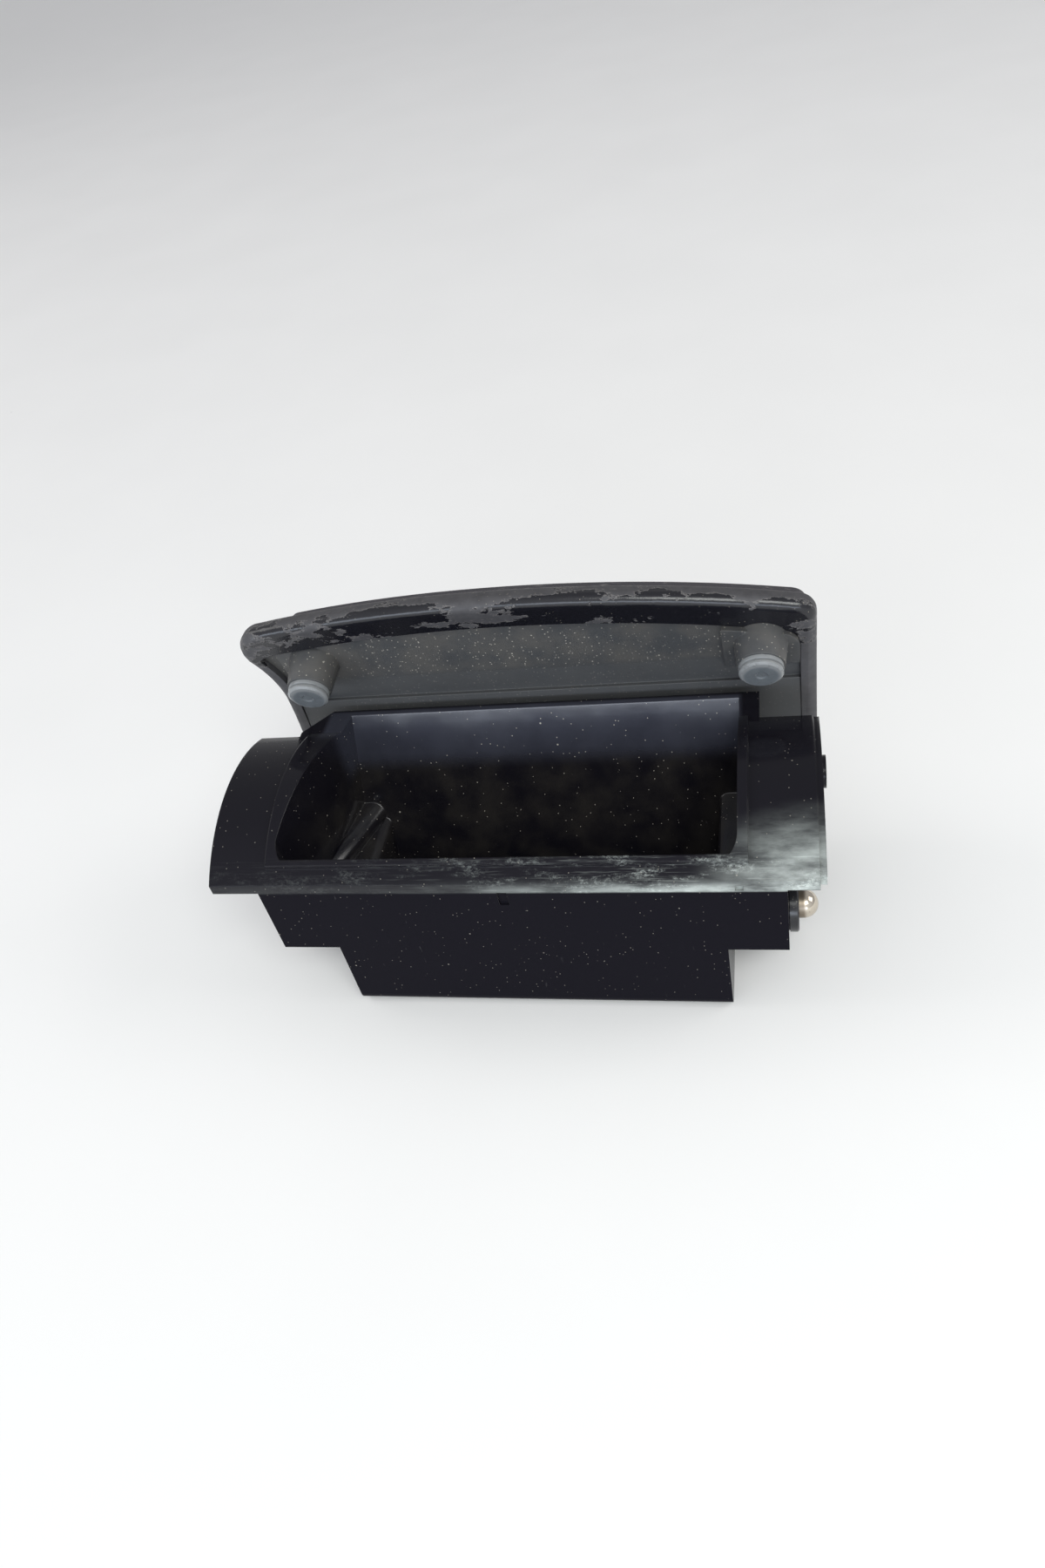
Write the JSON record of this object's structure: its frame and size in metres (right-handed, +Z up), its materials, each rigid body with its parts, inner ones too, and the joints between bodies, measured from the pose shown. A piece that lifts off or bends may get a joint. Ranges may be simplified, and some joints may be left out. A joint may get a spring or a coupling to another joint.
{
  "type": "console tray insert",
  "caption": "Swing-out storage tray for a vehicle console: moulded bin with drum-shaped shoulders, curved padded fascia and sprung pivot pin.",
  "frame": {"origin": "middle of the base, under the centre of the bounding box", "axes": "+X along the drum to its sprung pivot, +Y from the drum's lip to the fascia, +Z up out of the tray's mouth"},
  "size_m": [0.1524, 0.069, 0.0941],
  "materials": {
    "tray": "glossy black moulded plastic, scratched at the lip",
    "fascia_carrier": "dusty dark grey moulded plastic",
    "fascia_cover": "soft-touch coating, worn and peeling along its bead",
    "fascia_facing": "fine-grained grey facing",
    "buffer_left": "translucent grey buffer",
    "buffer_right": "translucent grey buffer",
    "fascia_screws": "zinc-plated",
    "pivot_bush_right": "black moulded",
    "pivot_plunger": "warm nickel plate",
    "pivot_cap": "black moulded",
    "pivot_spring": "spring steel",
    "pivot_bush_left": "black moulded",
    "pivot_pin_left": "warm nickel plate"
  },
  "bodies": {
    "tray": {"tray": "tray", "fascia_carrier": "fascia_carrier", "fascia_cover": "fascia_cover", "fascia_facing": "fascia_facing", "buffer_left": "buffer_left", "buffer_right": "buffer_right", "fascia_screws": "fascia_screws", "pivot_bush_right": "pivot_bush_right", "pivot_cap": "pivot_cap", "pivot_spring": "pivot_spring", "pivot_bush_left": "pivot_bush_left", "pivot_pin_left": "pivot_pin_left"},
    "plunger": {"pivot_plunger": "pivot_plunger"}
  },
  "joints": [
    {"name": "pivot_press", "type": "slide", "parent": "tray", "child": "plunger", "axis": [-1, 0, 0], "range_m": [0, 0.0025], "stiffness_N_per_m": 1500, "springref_m": -0.003, "deforming": ["pivot_spring"]}
  ]
}
